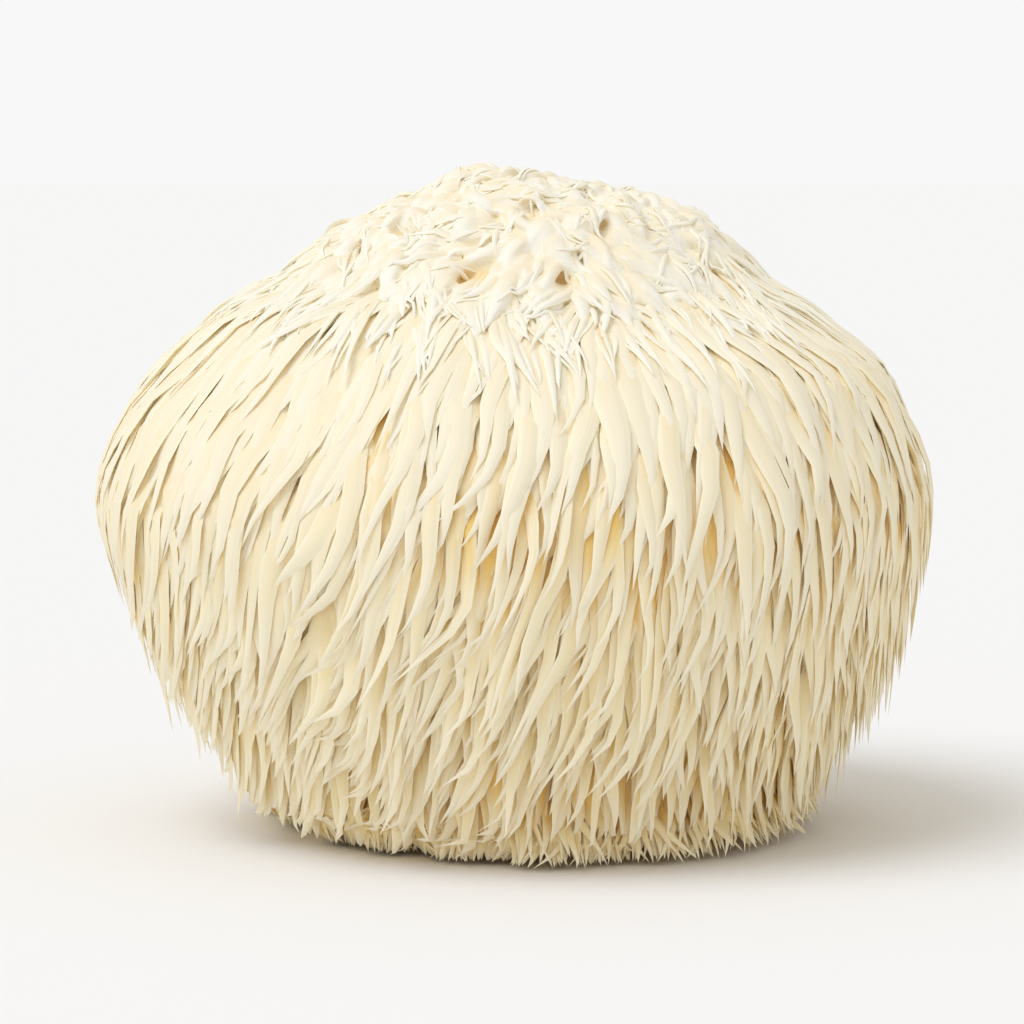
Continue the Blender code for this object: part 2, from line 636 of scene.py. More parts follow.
@dataclass(frozen=True)
class StrandFinish:
    """The soft waxy skin of spines and curls, with fine grooves along each, painted highlights on the blades'
    edges, and painted shade low down and in the gaps.
    """

    name: str
    pale: tuple[float, float, float, float] = colour(0.95, 0.905, 0.79)
    warm: tuple[float, float, float, float] = colour(0.94, 0.875, 0.70)
    # Painted shade toward the bottom.
    low: tuple[float, float, float, float] = colour(0.95, 0.825, 0.49)
    # A painted highlight on the blades' thin edges.
    edge_highlight: tuple[float, float, float, float] = colour(0.97, 0.92, 0.72)
    # Golden painted shade at the roots and in the deep gaps between spines.
    golden: tuple[float, float, float, float] = colour(0.90, 0.64, 0.20)
    fibres: float = 2.4
    groove_depth: float = 0.14 * MM
    groove_strength: float = 0.5
    roughness: float = 0.62
    # How strongly the painted edge highlight is mixed in.
    edge_highlight_share: float = 0.75
    down: float = 0.12
    down_colour: tuple[float, float, float, float] = colour(1.0, 0.90, 0.66)

    def make(self, fibre: bpy.types.NodeTree, tint: bpy.types.NodeTree) -> bpy.types.Material:
        """The material.

        Args:
            fibre: The group that makes the grooves.
            tint: The group that makes the colour.

        Returns:
            The material.
        """
        material = bpy.data.materials.new(self.name)
        material.use_nodes = True
        tree = Tree(material.node_tree)
        strand = tree.add("ShaderNodeSeparateXYZ")
        tree.join(tree.add("ShaderNodeAttribute", attribute_name=STRAND).outputs["Vector"], strand.inputs[0])
        across, along, tone = strand.outputs
        deep, edge, seam = (
            tree.add("ShaderNodeAttribute", attribute_name=name).outputs["Fac"] for name in (DEEP, EDGE, SEAM)
        )
        grooves = tree.add("ShaderNodeGroup", node_tree=fibre)
        for socket, value in zip(grooves.inputs, (across, along, tone, self.fibres)):
            tree.feed(socket, value)
        body = tree.add("ShaderNodeGroup", node_tree=tint)
        fed = (deep, along, tone, self.pale, self.warm, self.low, self.golden)
        for socket, value in zip(body.inputs, fed):
            tree.feed(socket, value)
        whole = tree.maths("SUBTRACT", 1.0, seam, clamp=True)
        # Painted highlight: the blades' thin edges are lightened, as if light came through them.
        rim_highlight = tree.maths("MULTIPLY", tree.ramp(edge, 0.45, 1.0), self.edge_highlight_share)
        rim_highlighted = tree.blend(rim_highlight, body.outputs["Color"], self.edge_highlight)
        worn = tree.maths("MULTIPLY", tree.maths("MULTIPLY", grooves.outputs["Mask"], whole), 0.10)
        shaded = tree.blend(worn, rim_highlighted, self.warm)
        shader = tree.add("ShaderNodeBsdfPrincipled")
        tree.join(shaded, shader.inputs["Base Color"])
        rough = tree.maths("MULTIPLY_ADD", grooves.outputs["Mask"], 0.12, self.roughness - 0.06)
        tree.join(rough, shader.inputs["Roughness"])
        bump = tree.add("ShaderNodeBump")
        bump.inputs["Strength"].default_value = self.groove_strength
        bump.inputs["Distance"].default_value = self.groove_depth
        tree.join(tree.maths("MULTIPLY", grooves.outputs["Height"], whole), bump.inputs["Height"])
        tree.join(bump.outputs[0], shader.inputs["Normal"])
        shader.inputs["Sheen Weight"].default_value = self.down
        shader.inputs["Sheen Roughness"].default_value = 0.5
        shader.inputs["Sheen Tint"].default_value = self.down_colour
        shader.inputs["Specular IOR Level"].default_value = 0.15
        shader.inputs["Specular Tint"].default_value = self.down_colour
        out = tree.add("ShaderNodeOutputMaterial")
        tree.join(shader.outputs[0], out.inputs[0])
        return material


@dataclass(frozen=True)
class FleshFinish:
    """The firm flesh under the spines, or its cut face, with pores and fibres. Its default colours are a
    golden painted shade, for the flesh that shows only in the gaps between spines.
    """

    name: str
    # Painted shade: golden-brown for the flesh seen deep in the gaps.
    pale: tuple[float, float, float, float] = colour(0.87, 0.66, 0.30)
    dark: tuple[float, float, float, float] = colour(0.76, 0.51, 0.17)
    pore_scale: float = 900.0
    patch_scale: float = 60.0
    pore_depth: float = 0.25 * MM
    roughness: float = 0.7

    def make(self) -> bpy.types.Material:
        """The material."""
        material = bpy.data.materials.new(self.name)
        material.use_nodes = True
        tree = Tree(material.node_tree)
        place = tree.add("ShaderNodeTexCoord").outputs["Object"]
        patches = tree.spots(place, self.patch_scale, 4.0)
        pores = tree.spots(place, self.pore_scale, 3.0)
        mixed = tree.maths("MULTIPLY_ADD", pores, 0.5, tree.maths("MULTIPLY", patches, 0.5))
        shader = tree.add("ShaderNodeBsdfPrincipled")
        tree.join(tree.blend(mixed, self.pale, self.dark), shader.inputs["Base Color"])
        tree.join(tree.maths("MULTIPLY_ADD", pores, 0.2, self.roughness - 0.1), shader.inputs["Roughness"])
        bump = tree.add("ShaderNodeBump")
        bump.inputs["Distance"].default_value = self.pore_depth
        tree.join(pores, bump.inputs["Height"])
        tree.join(bump.outputs[0], shader.inputs["Normal"])
        out = tree.add("ShaderNodeOutputMaterial")
        tree.join(shader.outputs[0], out.inputs[0])
        return material


def dress(piece: bpy.types.Object, *materials: bpy.types.Material) -> bpy.types.Object:
    """Gives a piece its materials and its body, and reports it.

    Args:
        piece: The piece.
        materials: Its materials, in the order of its faces' numbers.

    Returns:
        The piece.
    """
    for material in materials:
        piece.data.materials.append(material)
    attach(piece, BODY)
    log.info("%s: %d faces", piece.name, len(piece.data.polygons))
    return piece


# ---------------------------------------------------------------- the pieces


@dataclass
class Flesh:
    """The one knob of flesh that every spine grows from, cut flat underneath."""

    envelope: Envelope
    skin_depth: float = 5.6 * MM
    hem_depth: float = 3.6 * MM
    crown_skin_depth: float = 3.4 * MM
    lump_height: float = 1.3 * MM
    lump_size: float = 9.0 * MM
    segments: int = 144
    rings: int = 80
    hem_polar: float = 0.86
    cut_rings: int = 9
    cut_ring_width: float = 3.6 * MM
    cut_relief: float = 0.35 * MM

    def build(self) -> bpy.types.Object:
        """Models the knob from a sphere that is moved onto the surface below the spines, then cut."""
        shape = bmesh.new()
        bmesh.ops.create_uvsphere(shape, u_segments=self.segments, v_segments=self.rings, radius=1.0)
        co = np.array([v.co for v in shape.verts])
        polar = np.arccos(np.clip(co[:, 2], -1.0, 1.0)) / math.pi
        azimuth = np.arctan2(co[:, 1], co[:, 0])
        share = polar / self.hem_polar
        deeper = self.skin_depth - self.crown_skin_depth
        skin = self.crown_skin_depth + deeper * smooth_step(share, 0.2, 0.42)
        skin += self.hem_depth * smooth_step(share, 0.86, 0.97)
        place, normal = self.envelope.place(azimuth, share, skin)
        place += normal * (drift(place, self.lump_size, 3.1) * self.lump_height)[:, None]
        below = smooth_step(share, 1.0, 1.0 / self.hem_polar)
        place[:, :2] *= (1.0 - below)[:, None]
        place[:, 2] -= np.where(share > 0.985, 3.0 * MM + 2.0 * MM * below, 0.0)
        for vertex, moved in zip(shape.verts, place):
            vertex.co = moved
        self._cut(shape)
        mesh = bpy.data.meshes.new("flesh")
        shape.to_mesh(mesh)
        shape.free()
        mesh.shade_smooth()
        mesh.set_sharp_from_angle(angle=math.radians(60))
        piece = bpy.data.objects.new("flesh", mesh)
        bpy.context.scene.collection.objects.link(piece)
        return piece

    def _cut(self, shape: bmesh.types.BMesh) -> None:
        """Cuts the knob flat and gives the cut face its torn, fibrous relief.

        Args:
            shape: The knob.
        """
        everything = shape.verts[:] + shape.edges[:] + shape.faces[:]
        bmesh.ops.bisect_plane(
            shape, geom=everything, plane_co=(0, 0, 0), plane_no=(0, 0, -1), clear_outer=True,
        )
        rim = [e for e in shape.edges if e.is_boundary]
        face = bmesh.ops.holes_fill(shape, edges=rim, sides=0)["faces"][0]
        cut_faces = []
        for _ in range(self.cut_rings):
            cut_faces += bmesh.ops.inset_region(shape, faces=[face], thickness=self.cut_ring_width)["faces"]
        cut_faces += bmesh.ops.poke(shape, faces=[face])["faces"]
        bmesh.ops.recalc_face_normals(shape, faces=shape.faces[:])
        for f in cut_faces:
            f.material_index = 1
        rim_verts = {v for f in shape.faces if f.material_index == 0 for v in f.verts}
        inner = {v for f in cut_faces for v in f.verts} - rim_verts
        for vertex in inner:
            rough = noise.noise(vertex.co / (2.5 * MM)) + 0.5 * noise.noise(vertex.co / (1.0 * MM))
            vertex.co.z = self.cut_relief * max(0.0, 0.4 + rough)


class Quarter(enum.Enum):
    """The four sides that the hanging spines are joined in, by the azimuth of the side's middle."""

    FRONT = -90.0
    RIGHT = 0.0
    BACK = 90.0
    LEFT = 180.0


@dataclass(frozen=True)
class Layer:
    """One layer of hanging spines: how many, how big, and how deep they lie."""

    count: int
    locks: int
    length: float
    half_width: float
    sunk: float
    depth_spread: float
    gather: float
    # How much warmer the layer's tone is painted, as painted shade for layers that lie under others.
    shade_tone: float
    seed: int


@dataclass(frozen=True)
class Roots:
    """Where the spines of a layer start, the lock that each belongs to, and how its place makes it grow."""

    azimuth: np.ndarray
    share: np.ndarray
    place: np.ndarray
    reach: np.ndarray
    lock: np.ndarray
    to_lock: np.ndarray
    low: np.ndarray
    high: np.ndarray
    right: np.ndarray
    calm: np.ndarray


@dataclass
class HangingSpines:
    """The thousands of spines on the shoulders and flanks, each hanging over the roots of the next."""

    envelope: Envelope
    shape: StrandShape
    mat_edge: float = 42.0 * MM
    mat_front_reach: float = 8.0 * MM
    mat_depth: float = 3.4 * MM
    upper: Layer = Layer(1500, 560, 39.0 * MM, 1.42 * MM, 0.0, 1.7 * MM, 0.45, 0.0, 11)
    middle: Layer = Layer(1300, 500, 37.0 * MM, 1.5 * MM, 1.3 * MM, 1.2 * MM, 0.3, 0.2, 13)
    under: Layer = Layer(1750, 620, 36.0 * MM, 2.0 * MM, 2.6 * MM, 1.0 * MM, 0.2, 0.45, 12)
    top: float = 0.13
    bottom: float = 0.965
    root_depth: float = 7.0 * MM
    droop: float = 0.85
    left_droop_less: float = 0.3
    stray_share: float = 0.22
    wave: float = 0.026
    wave_turns: float = 1.4
    least_radius: float = 12.0 * MM
    floor_gap: float = 0.5 * MM
    quarter_reach: float = 45.0

    def lay(self, layer: Layer) -> Strands:
        """Works out the path, width, roll and tone of every spine of a layer.

        Args:
            layer: The layer.

        Returns:
            The strands, before they are joined.
        """
        rng = np.random.default_rng(layer.seed)
        count = layer.count
        along = np.array(self.shape.stations)[None, :]
        roots = self._roots(layer)
        calm, low = roots.calm, roots.low
        length = self._lengths(layer, roots, rng)
        aside = self._aside(layer, roots, length, rng)
        run = roots.share[:, None] + length[:, None] * along / roots.reach[:, None]
        here, _ = self.envelope.place(roots.azimuth[:, None] + 0 * along, run, np.zeros_like(run))
        radius = np.maximum(np.hypot(here[..., 0], here[..., 1]), self.least_radius)
        turn = roots.azimuth[:, None] + aside / radius
        depth = self._depths(layer, roots, rng)
        depth = np.maximum(depth, self._cover_depth(roots, run, turn))
        points, normals = self.envelope.place(turn, run, depth)
        points, moved = self._hung(roots, points)
        # The depth noted for the finish's golden painted shade: less where a spine hangs out, more in the
        # busy middle, less on the calm sides and low down.
        depth = (depth - 0.85 * moved) * (1.6 - 1.05 * calm - 0.4 * low)[:, None]
        half_width = (layer.half_width + (0.4 * calm - 0.25 * low) * MM) * rng.uniform(0.7, 1.3, count)
        twist = 0.2 * rng.normal(0.0, 1.0, count)[:, None]
        twist = twist + 0.32 * rng.normal(0.0, 1.0, count)[:, None] * along**2
        twist = twist * (1.0 - 0.75 * calm)[:, None]
        flatness = rng.uniform(0.28, 0.42, count) * (1.0 - 0.2 * calm)
        tones = np.clip(rng.uniform(0.0, 1.0, count) + layer.shade_tone, 0.0, 1.3)
        return Strands(self.shape, points, normals, half_width, flatness, twist, depth, tones)

    def _roots(self, layer: Layer) -> Roots:
        """Spreads a layer's roots and its locks over the surface.

        The shoulders and the left flank are calm, combed close, and the low spines are loose.

        Args:
            layer: The layer.

        Returns:
            The roots.
        """
        azimuth, share = self.envelope.spread(layer.count, self.top, self.bottom, layer.seed)
        place, _ = self.envelope.place(azimuth, share, np.zeros(layer.count))
        lock_azimuth, lock_share = self.envelope.spread(layer.locks, self.top, self.bottom, layer.seed + 50)
        lock_place, _ = self.envelope.place(lock_azimuth, lock_share, np.zeros(layer.locks))
        lock = self._nearest(place, lock_place)
        to_lock = np.mod(lock_azimuth[lock] - azimuth + math.pi, math.tau) - math.pi
        low = smooth_step(share, 0.6, 0.95)
        high = 1.0 - smooth_step(share, 0.26, 0.46)
        calm = np.maximum(high, np.clip(-1.5 * np.cos(azimuth), 0.0, 0.92) * (1.0 - 0.5 * low))
        calm = np.maximum(calm, np.clip(np.cos(azimuth) - 0.3, 0.0, 0.35))
        right = np.clip(np.cos(azimuth), 0.0, 1.0)
        reach = self.envelope.length(azimuth)
        return Roots(azimuth, share, place, reach, lock, to_lock, low, high, right, calm)

    @staticmethod
    def _lengths(layer: Layer, roots: Roots, rng: np.random.Generator) -> np.ndarray:
        """The spines' lengths: longest on the shoulders, shorter low down, and ending above the floor.

        Args:
            layer: The layer.
            roots: Its roots.
            rng: The source of chance.

        Returns:
            The lengths, in metres.
        """
        short = smooth_step(roots.share, 0.48, 0.74)
        length = layer.length + (4.0 * roots.high + 2.0 - 11.0 * short) * MM
        length = length * rng.uniform(0.82, 1.15, layer.count)
        length *= rng.uniform(0.88, 1.12, layer.locks)[roots.lock]
        left = (1.0 - roots.share) * roots.reach
        return np.minimum(length, left - rng.uniform(1.0, 6.0, layer.count) * MM)

    def _aside(
        self, layer: Layer, roots: Roots, length: np.ndarray, rng: np.random.Generator,
    ) -> np.ndarray:
        """How far each spine strays sideways from straight down: its lean, hook, wave and pull to its lock.

        Args:
            layer: The layer.
            roots: Its roots.
            length: The spines' lengths.
            rng: The source of chance.

        Returns:
            The distances, in metres, a row for each spine and a column for each station.
        """
        count, right, low = layer.count, roots.right, roots.low
        along = np.array(self.shape.stations)[None, :]
        lean = -0.05 + 0.04 * drift(roots.place, 32.0 * MM, 5.0)
        lean = lean + 0.025 * rng.normal(0.0, 1.0, layer.locks)[roots.lock]
        lean = lean + 0.016 * rng.normal(0.0, 1.0, count)
        lean = lean + 0.05 * right + 0.12 * right * low
        hook = -0.15 * (1.0 - 0.5 * low) * (1.0 - right) + 0.04 * drift(roots.place, 15.0 * MM, 9.0)
        hook = hook + 0.032 * rng.normal(0.0, 1.0, count)
        wave = self.wave * rng.uniform(0.4, 1.5, count)
        phase = 0.5 * drift(roots.place, 20.0 * MM, 2.0) + 0.12 * rng.normal(0.0, 1.0, count)
        phase = math.tau * phase[:, None]
        swing = np.sin(math.tau * self.wave_turns * along + phase) - np.sin(phase)
        bent = lean[:, None] * along + hook[:, None] * along**4 + wave[:, None] * swing
        gather = layer.gather * rng.uniform(0.3, 1.2, layer.locks)[roots.lock] * (1.0 - 0.45 * roots.calm)
        pull = roots.to_lock * np.hypot(roots.place[:, 0], roots.place[:, 1]) * gather
        return length[:, None] * bent + pull[:, None] * smooth_step(along, 0.15, 0.9)

    def _depths(self, layer: Layer, roots: Roots, rng: np.random.Generator) -> np.ndarray:
        """How deep each spine lies from its buried root to its tip, which flicks outward on a few.

        Args:
            layer: The layer.
            roots: Its roots.
            rng: The source of chance.

        Returns:
            The depths, in metres, a row for each spine and a column for each station.
        """
        count, share, calm, low = layer.count, roots.share, roots.calm, roots.low
        along = np.array(self.shape.stations)[None, :]
        settled = 0.3 + 0.5 * smooth_step(share, 0.40, 0.55) + 2.2 * smooth_step(share, 0.55, 0.75)
        spread = layer.depth_spread * (1.0 - 0.75 * calm)
        middle = settled * MM + spread * rng.beta(1.3, 1.8, count) + layer.sunk * (1.0 - 0.75 * calm)
        middle = (middle + 0.5 * MM * low)[:, None]
        stray = rng.uniform(0, 1, count) < self.stray_share * (1.0 - 0.75 * roots.high)
        flick = np.where(stray, rng.uniform(1.5, 4.5, count), rng.uniform(-0.4, 0.4, count))
        tip = middle - (flick - 0.4 * calm + 0.4 * low)[:, None] * MM
        rooted = self.root_depth + 0.5 * layer.sunk + 2.6 * (low - roots.high) * MM
        steep = smooth_step(share, 0.4, 0.72)[:, None]
        dive = (1.0 - steep) * (1.0 - along) ** 3.2 + steep * (1.0 - along) ** 1.5
        return middle + (rooted[:, None] - middle) * dive + (tip - middle) * along**2.5

    def _cover_depth(self, roots: Roots, run: np.ndarray, turn: np.ndarray) -> np.ndarray:
        """The least depth that keeps the spines under the crown's mat, fading out past its edge.

        Args:
            roots: The roots.
            run: The spines' shares at each station.
            turn: Their azimuths at each station.

        Returns:
            The depths, in metres.
        """
        front = np.clip(-np.sin(turn), 0.0, 1.0) ** 2
        past_mat = run * roots.reach[:, None] - self.mat_edge - self.mat_front_reach * front
        return self.mat_depth * (1.0 - smooth_step(past_mat, -8.0 * MM, 7.0 * MM))

    def _hung(self, roots: Roots, points: np.ndarray) -> tuple[np.ndarray, np.ndarray]:
        """Lets the spines hang plumb where the surface turns inward below them.

        Args:
            roots: The roots.
            points: The spines' points.

        Returns:
            The hung points, and how far outward each was moved.
        """
        radius = np.hypot(points[..., 0], points[..., 1])
        droop = self.droop - self.left_droop_less * np.clip(-np.cos(roots.azimuth), 0.0, 1.0)
        hung = radius + droop[:, None] * (np.maximum.accumulate(radius, axis=1) - radius)
        points[..., :2] *= (hung / radius)[..., None]
        points[..., 2] = np.maximum(points[..., 2], self.floor_gap)
        return points, hung - radius

    @staticmethod
    def _nearest(places: np.ndarray, guides: np.ndarray) -> np.ndarray:
        """The index of the guide nearest to each place.

        Args:
            places: The places, as rows.
            guides: The guides, as rows.

        Returns:
            One index for each place.
        """
        best = np.empty(len(places), int)
        for start in range(0, len(places), 500):
            part = places[start:start + 500]
            best[start:start + 500] = ((part[:, None, :] - guides[None, :, :]) ** 2).sum(-1).argmin(1)
        return best

    def build(self) -> list[bpy.types.Object]:
        """The spines as four joined pieces, one for each side."""
        strands = self.lay(self.upper).beside(self.lay(self.middle)).beside(self.lay(self.under))
        middle = strands.points[:, 0]
        azimuth = np.degrees(np.arctan2(middle[:, 1], middle[:, 0]))
        pieces = []
        for quarter in Quarter:
            apart = np.abs(np.mod(azimuth - quarter.value + 180.0, 360.0) - 180.0)
            pieces.append(strands.chosen(apart <= self.quarter_reach).make(f"spines_{quarter.name.lower()}"))
        return pieces


@dataclass
class Tufts:
    """Soft locks that start on the crown and curl outwards, as paths over the surface."""

    envelope: Envelope
    shape: StrandShape
    count: int
    fibres: int
    edge: float
    front_reach: float
    length: tuple[float, float]
    outer_length: float
    width: tuple[float, float]
    fibre_share: float
    sunk: tuple[float, float]
    rise: tuple[float, float]
    root_dive: float
    tip_dive: float
    flatness: tuple[float, float]
    outer_sunk: float
    wildness: float
    taper: tuple[float, float]
    seed: int

    def edge_at(self, azimuth: np.ndarray) -> np.ndarray:
        """How far from the crown's middle the mat ends, which is further in front."""
        return self.edge + self.front_reach * np.clip(-np.sin(azimuth), 0.0, 1.0) ** 2

    def lay(self, cover: BVHTree | None = None) -> Strands:
        """Works out every fibre's path, width, roll and tone.

        Args:
            cover: A surface that the fibres lie on, where they don't have depths of their own.

        Returns:
            The strands, before they are joined.
        """
        rng = np.random.default_rng(self.seed)
        order = (np.arange(self.count) + 0.5) / self.count
        outward = np.arange(self.count) * GOLDEN_ANGLE
        out = (self.edge_at(outward) - 4.0 * MM) * np.sqrt(order)
        centre = np.stack([out * np.cos(outward), out * np.sin(outward)], axis=1)
        centre += rng.normal(0.0, 0.9 * MM, centre.shape)
        flat = np.concatenate([centre, np.zeros((self.count, 1))], axis=1)
        tame = smooth_step(out / self.edge_at(outward), 0.5, 0.95)
        heading = outward + self.wildness * (1.0 - 0.8 * tame) * drift(flat, 13.0 * MM, 4.0)
        heading += (0.42 - 0.27 * tame) * rng.normal(0.0, 1.0, self.count)
        bend = (1.0 - 0.7 * tame) * (rng.normal(0.0, 0.8, self.count) + 1.0 * drift(flat, 9.0 * MM, 8.0))
        length = rng.uniform(*self.length, self.count) + self.outer_length * tame
        width = rng.uniform(*self.width, self.count)
        lock = np.repeat(np.arange(self.count), self.fibres)
        total = len(lock)
        along = np.array(self.shape.stations)[None, :]
        fanned = float(self.fibres > 1)
        across = np.tile(np.linspace(-fanned, fanned, self.fibres), self.count)
        across = across + 0.1 * rng.normal(0.0, 1.0, total)
        turn = heading[lock][:, None] + (bend[lock] + 0.1 * rng.normal(0.0, 1.0, total))[:, None] * along
        size = length[lock] * rng.uniform(0.82, 1.1, total) * (1.0 - 0.15 * across**2)
        steps = np.diff(along, prepend=0.0) * size[:, None]
        path = np.stack([np.cumsum(np.cos(turn) * steps, 1), np.cumsum(np.sin(turn) * steps, 1)], axis=-1)
        fan = 0.4 * np.sin(math.pi * np.minimum(along / 0.9, 1.0))
        spread = 0.6 + fan - 0.4 * smooth_step(along, 0.4, 1.0)
        aside = (across * width[lock])[:, None] * spread * fanned
        beside = np.stack([-np.sin(turn) * aside, np.cos(turn) * aside], axis=-1)
        place = centre[lock][:, None, :] + path + beside
        azimuth = np.arctan2(place[..., 1], place[..., 0])
        share = np.hypot(place[..., 0], place[..., 1]) / self.envelope.length(azimuth)
        rise = (rng.uniform(*self.rise, self.count) * (1.0 - 0.45 * tame))[lock][:, None]
        sunk = (rng.uniform(*self.sunk, self.count) + self.outer_sunk * tame)[lock][:, None]
        bed = sunk if cover is None else sunk + self._rest_on(cover, azimuth, share)
        hump = 0.4 * width[lock][:, None] * across[:, None] ** 2 * spread * fanned
        tip_dive = (self.tip_dive * (1.0 - tame[lock]))[:, None]
        dive = self.root_dive * (1.0 - along) ** 2.2 + tip_dive * along**2.5
        depth = bed + hump + dive - rise * np.sin(math.pi * along**0.85)
        points, normals = self.envelope.place(azimuth, share, depth)
        half_width = width[lock] * self.fibre_share * rng.uniform(0.8, 1.25, total)
        roll = (-0.35 * across * fanned + 0.25 * rng.normal(0.0, 1.0, total))[:, None] + 0.0 * along
        return Strands(
            self.shape, points, normals, half_width, rng.uniform(*self.flatness, total), roll, depth,
            rng.uniform(0.0, 0.7, total), *self.taper, root_width=0.75,
        )

    def _rest_on(self, cover: BVHTree, azimuth: np.ndarray, share: np.ndarray) -> np.ndarray:
        """How deep a covering surface lies at places, bridging its small hollows.

        Args:
            cover: The surface.
            azimuth: The places' azimuths, a row for each fibre.
            share: The places' shares.

        Returns:
            The depths, in metres.
        """
        above, normal = self.envelope.place(azimuth, share, np.full(azimuth.shape, -8.0 * MM))
        deep = np.full(azimuth.shape, 0.2 * MM)
        for index in np.ndindex(azimuth.shape):
            distance = cover.ray_cast(Vector(above[index]), Vector(-normal[index]), 14.0 * MM)[3]
            if distance is not None:
                deep[index] = distance - 8.0 * MM
        padded = np.pad(deep, ((0, 0), (1, 1)), mode="edge")
        return np.minimum(deep, (padded[:, :-2] + padded[:, 1:-1] + padded[:, 2:]) / 3.0)


@dataclass
class CrownMat:
    """The crown's woolly skin: hundreds of soft tufts merged in one mass, with small hollows between them."""

    tufts: Tufts
    bed_depth: float = 1.3 * MM
    rim_depth: float = 9.0 * MM
    keep_depth: float = 6.4 * MM
    voxel: float = 0.47 * MM
    softening: int = 2
    segments: int = 96
    rings: int = 48

    def build(self) -> bpy.types.Object:
        """The mat as one closed piece."""
        strands = self.tufts.lay()
        source = strands.make("crown_mat")
        origin = source.data
        tree = BVHTree.FromPolygons([v.co for v in origin.vertices], [p.vertices for p in origin.polygons])
        merged = self._merged(source)
        shape = bmesh.new()
        shape.from_mesh(merged)
        bpy.data.meshes.remove(merged)
        for _ in range(self.softening):
            bmesh.ops.smooth_vert(
                shape, verts=shape.verts[:], factor=0.5, use_axis_x=True, use_axis_y=True, use_axis_z=True,
            )
        depth = self.tufts.envelope.depth_at([v.co for v in shape.verts])
        buried = [v for v, deep in zip(shape.verts, depth) if deep > self.keep_depth]
        bmesh.ops.delete(shape, geom=buried, context="VERTS")
        bmesh.ops.delete(shape, geom=[v for v in shape.verts if not v.link_faces], context="VERTS")
        bmesh.ops.holes_fill(shape, edges=[e for e in shape.edges if e.is_boundary], sides=0)
        bmesh.ops.recalc_face_normals(shape, faces=shape.faces[:])
        mesh = bpy.data.meshes.new("crown_mat")
        shape.to_mesh(mesh)
        shape.free()
        self._note(mesh, origin, tree)
        mesh.shade_smooth()
        source.data = mesh
        bpy.data.meshes.remove(origin)
        mesh.name = "crown_mat"
        return source

    def _bed(self) -> bpy.types.Mesh:
        """A closed lens under the tufts, so that no gap reaches through the mat."""
        shape = bmesh.new()
        bmesh.ops.create_uvsphere(shape, u_segments=self.segments, v_segments=self.rings, radius=1.0)
        co = np.array([v.co for v in shape.verts])
        polar = np.arccos(np.clip(co[:, 2], -1.0, 1.0)) / (0.5 * math.pi)
        azimuth = np.arctan2(co[:, 1], co[:, 0])
        out = np.where(polar <= 1.0, polar, 2.0 - polar)
        fall = smooth_step(out, 0.75, 1.0)
        above = self.bed_depth + (self.rim_depth - self.bed_depth) * fall
        depth = np.where(polar <= 1.0, above, 1.4 * self.rim_depth)
        envelope = self.tufts.envelope
        share = out * self.tufts.edge_at(azimuth) / envelope.length(azimuth)
        place, _ = envelope.place(azimuth, share, depth)
        for vertex, moved in zip(shape.verts, place):
            vertex.co = moved
        mesh = bpy.data.meshes.new("crown_bed")
        shape.to_mesh(mesh)
        shape.free()
        return mesh

    def _merged(self, source: bpy.types.Object) -> bpy.types.Mesh:
        """The tufts and their bed as one skin.

        Args:
            source: The joined tufts.

        Returns:
            The skin's mesh.
        """
        bed = self._bed()
        both = bmesh.new()
        both.from_mesh(source.data)
        both.from_mesh(bed)
        bpy.data.meshes.remove(bed)
        mesh = bpy.data.meshes.new("crown_parts")
        both.to_mesh(mesh)
        both.free()
        holder = bpy.data.objects.new("crown_parts", mesh)
        bpy.context.scene.collection.objects.link(holder)
        remesh = holder.modifiers.new("merge", "REMESH")
        remesh.mode = "VOXEL"
        remesh.voxel_size = self.voxel
        merged = bpy.data.meshes.new_from_object(holder.evaluated_get(bpy.context.evaluated_depsgraph_get()))
        bpy.data.objects.remove(holder)
        bpy.data.meshes.remove(mesh)
        return merged

    def _note(self, mesh: bpy.types.Mesh, origin: bpy.types.Mesh, tree: BVHTree) -> None:
        """Carries the tufts' notes over to the skin, and notes how deep each point lies.

        Args:
            mesh: The skin.
            origin: The tufts, before they were merged.
            tree: The tufts' faces, for finding the nearest.
        """
        told = np.empty(len(origin.vertices) * 3, np.float32)
        origin.attributes[STRAND].data.foreach_get("vector", told)
        told = told.reshape(-1, 3)
        carried = np.empty((len(mesh.vertices), 3), np.float32)
        owner = np.empty(len(mesh.vertices), int)
        faces = len(origin.polygons) // (self.tufts.count * self.tufts.fibres)
        for index, vertex in enumerate(mesh.vertices):
            near, _, face, _ = tree.find_nearest(vertex.co)
            corners = origin.polygons[face].vertices[:]
            weights = interpolate.poly_3d_calc([origin.vertices[c].co for c in corners], near)
            carried[index] = np.array(weights) @ told[list(corners)]
            owner[index] = face // faces
        mesh.attributes.new(STRAND, "FLOAT_VECTOR", "POINT").data.foreach_set("vector", carried.ravel())
        ends = np.empty(len(mesh.edges) * 2, np.int32)
        mesh.edges.foreach_get("vertices", ends)
        ends = ends.reshape(-1, 2)
        parted = ends[owner[ends[:, 0]] != owner[ends[:, 1]]]
        seam = np.zeros(len(mesh.vertices), np.float32)
        seam[parted.ravel()] = 1.0
        mesh.attributes.new(SEAM, "FLOAT", "POINT").data.foreach_set("value", seam)
        depth = self.tufts.envelope.depth_at([v.co for v in mesh.vertices])
        deep = np.clip(depth / 7.0 / MM, 0.0, 1.0).astype(np.float32)
        mesh.attributes.new(DEEP, "FLOAT", "POINT").data.foreach_set("value", deep)


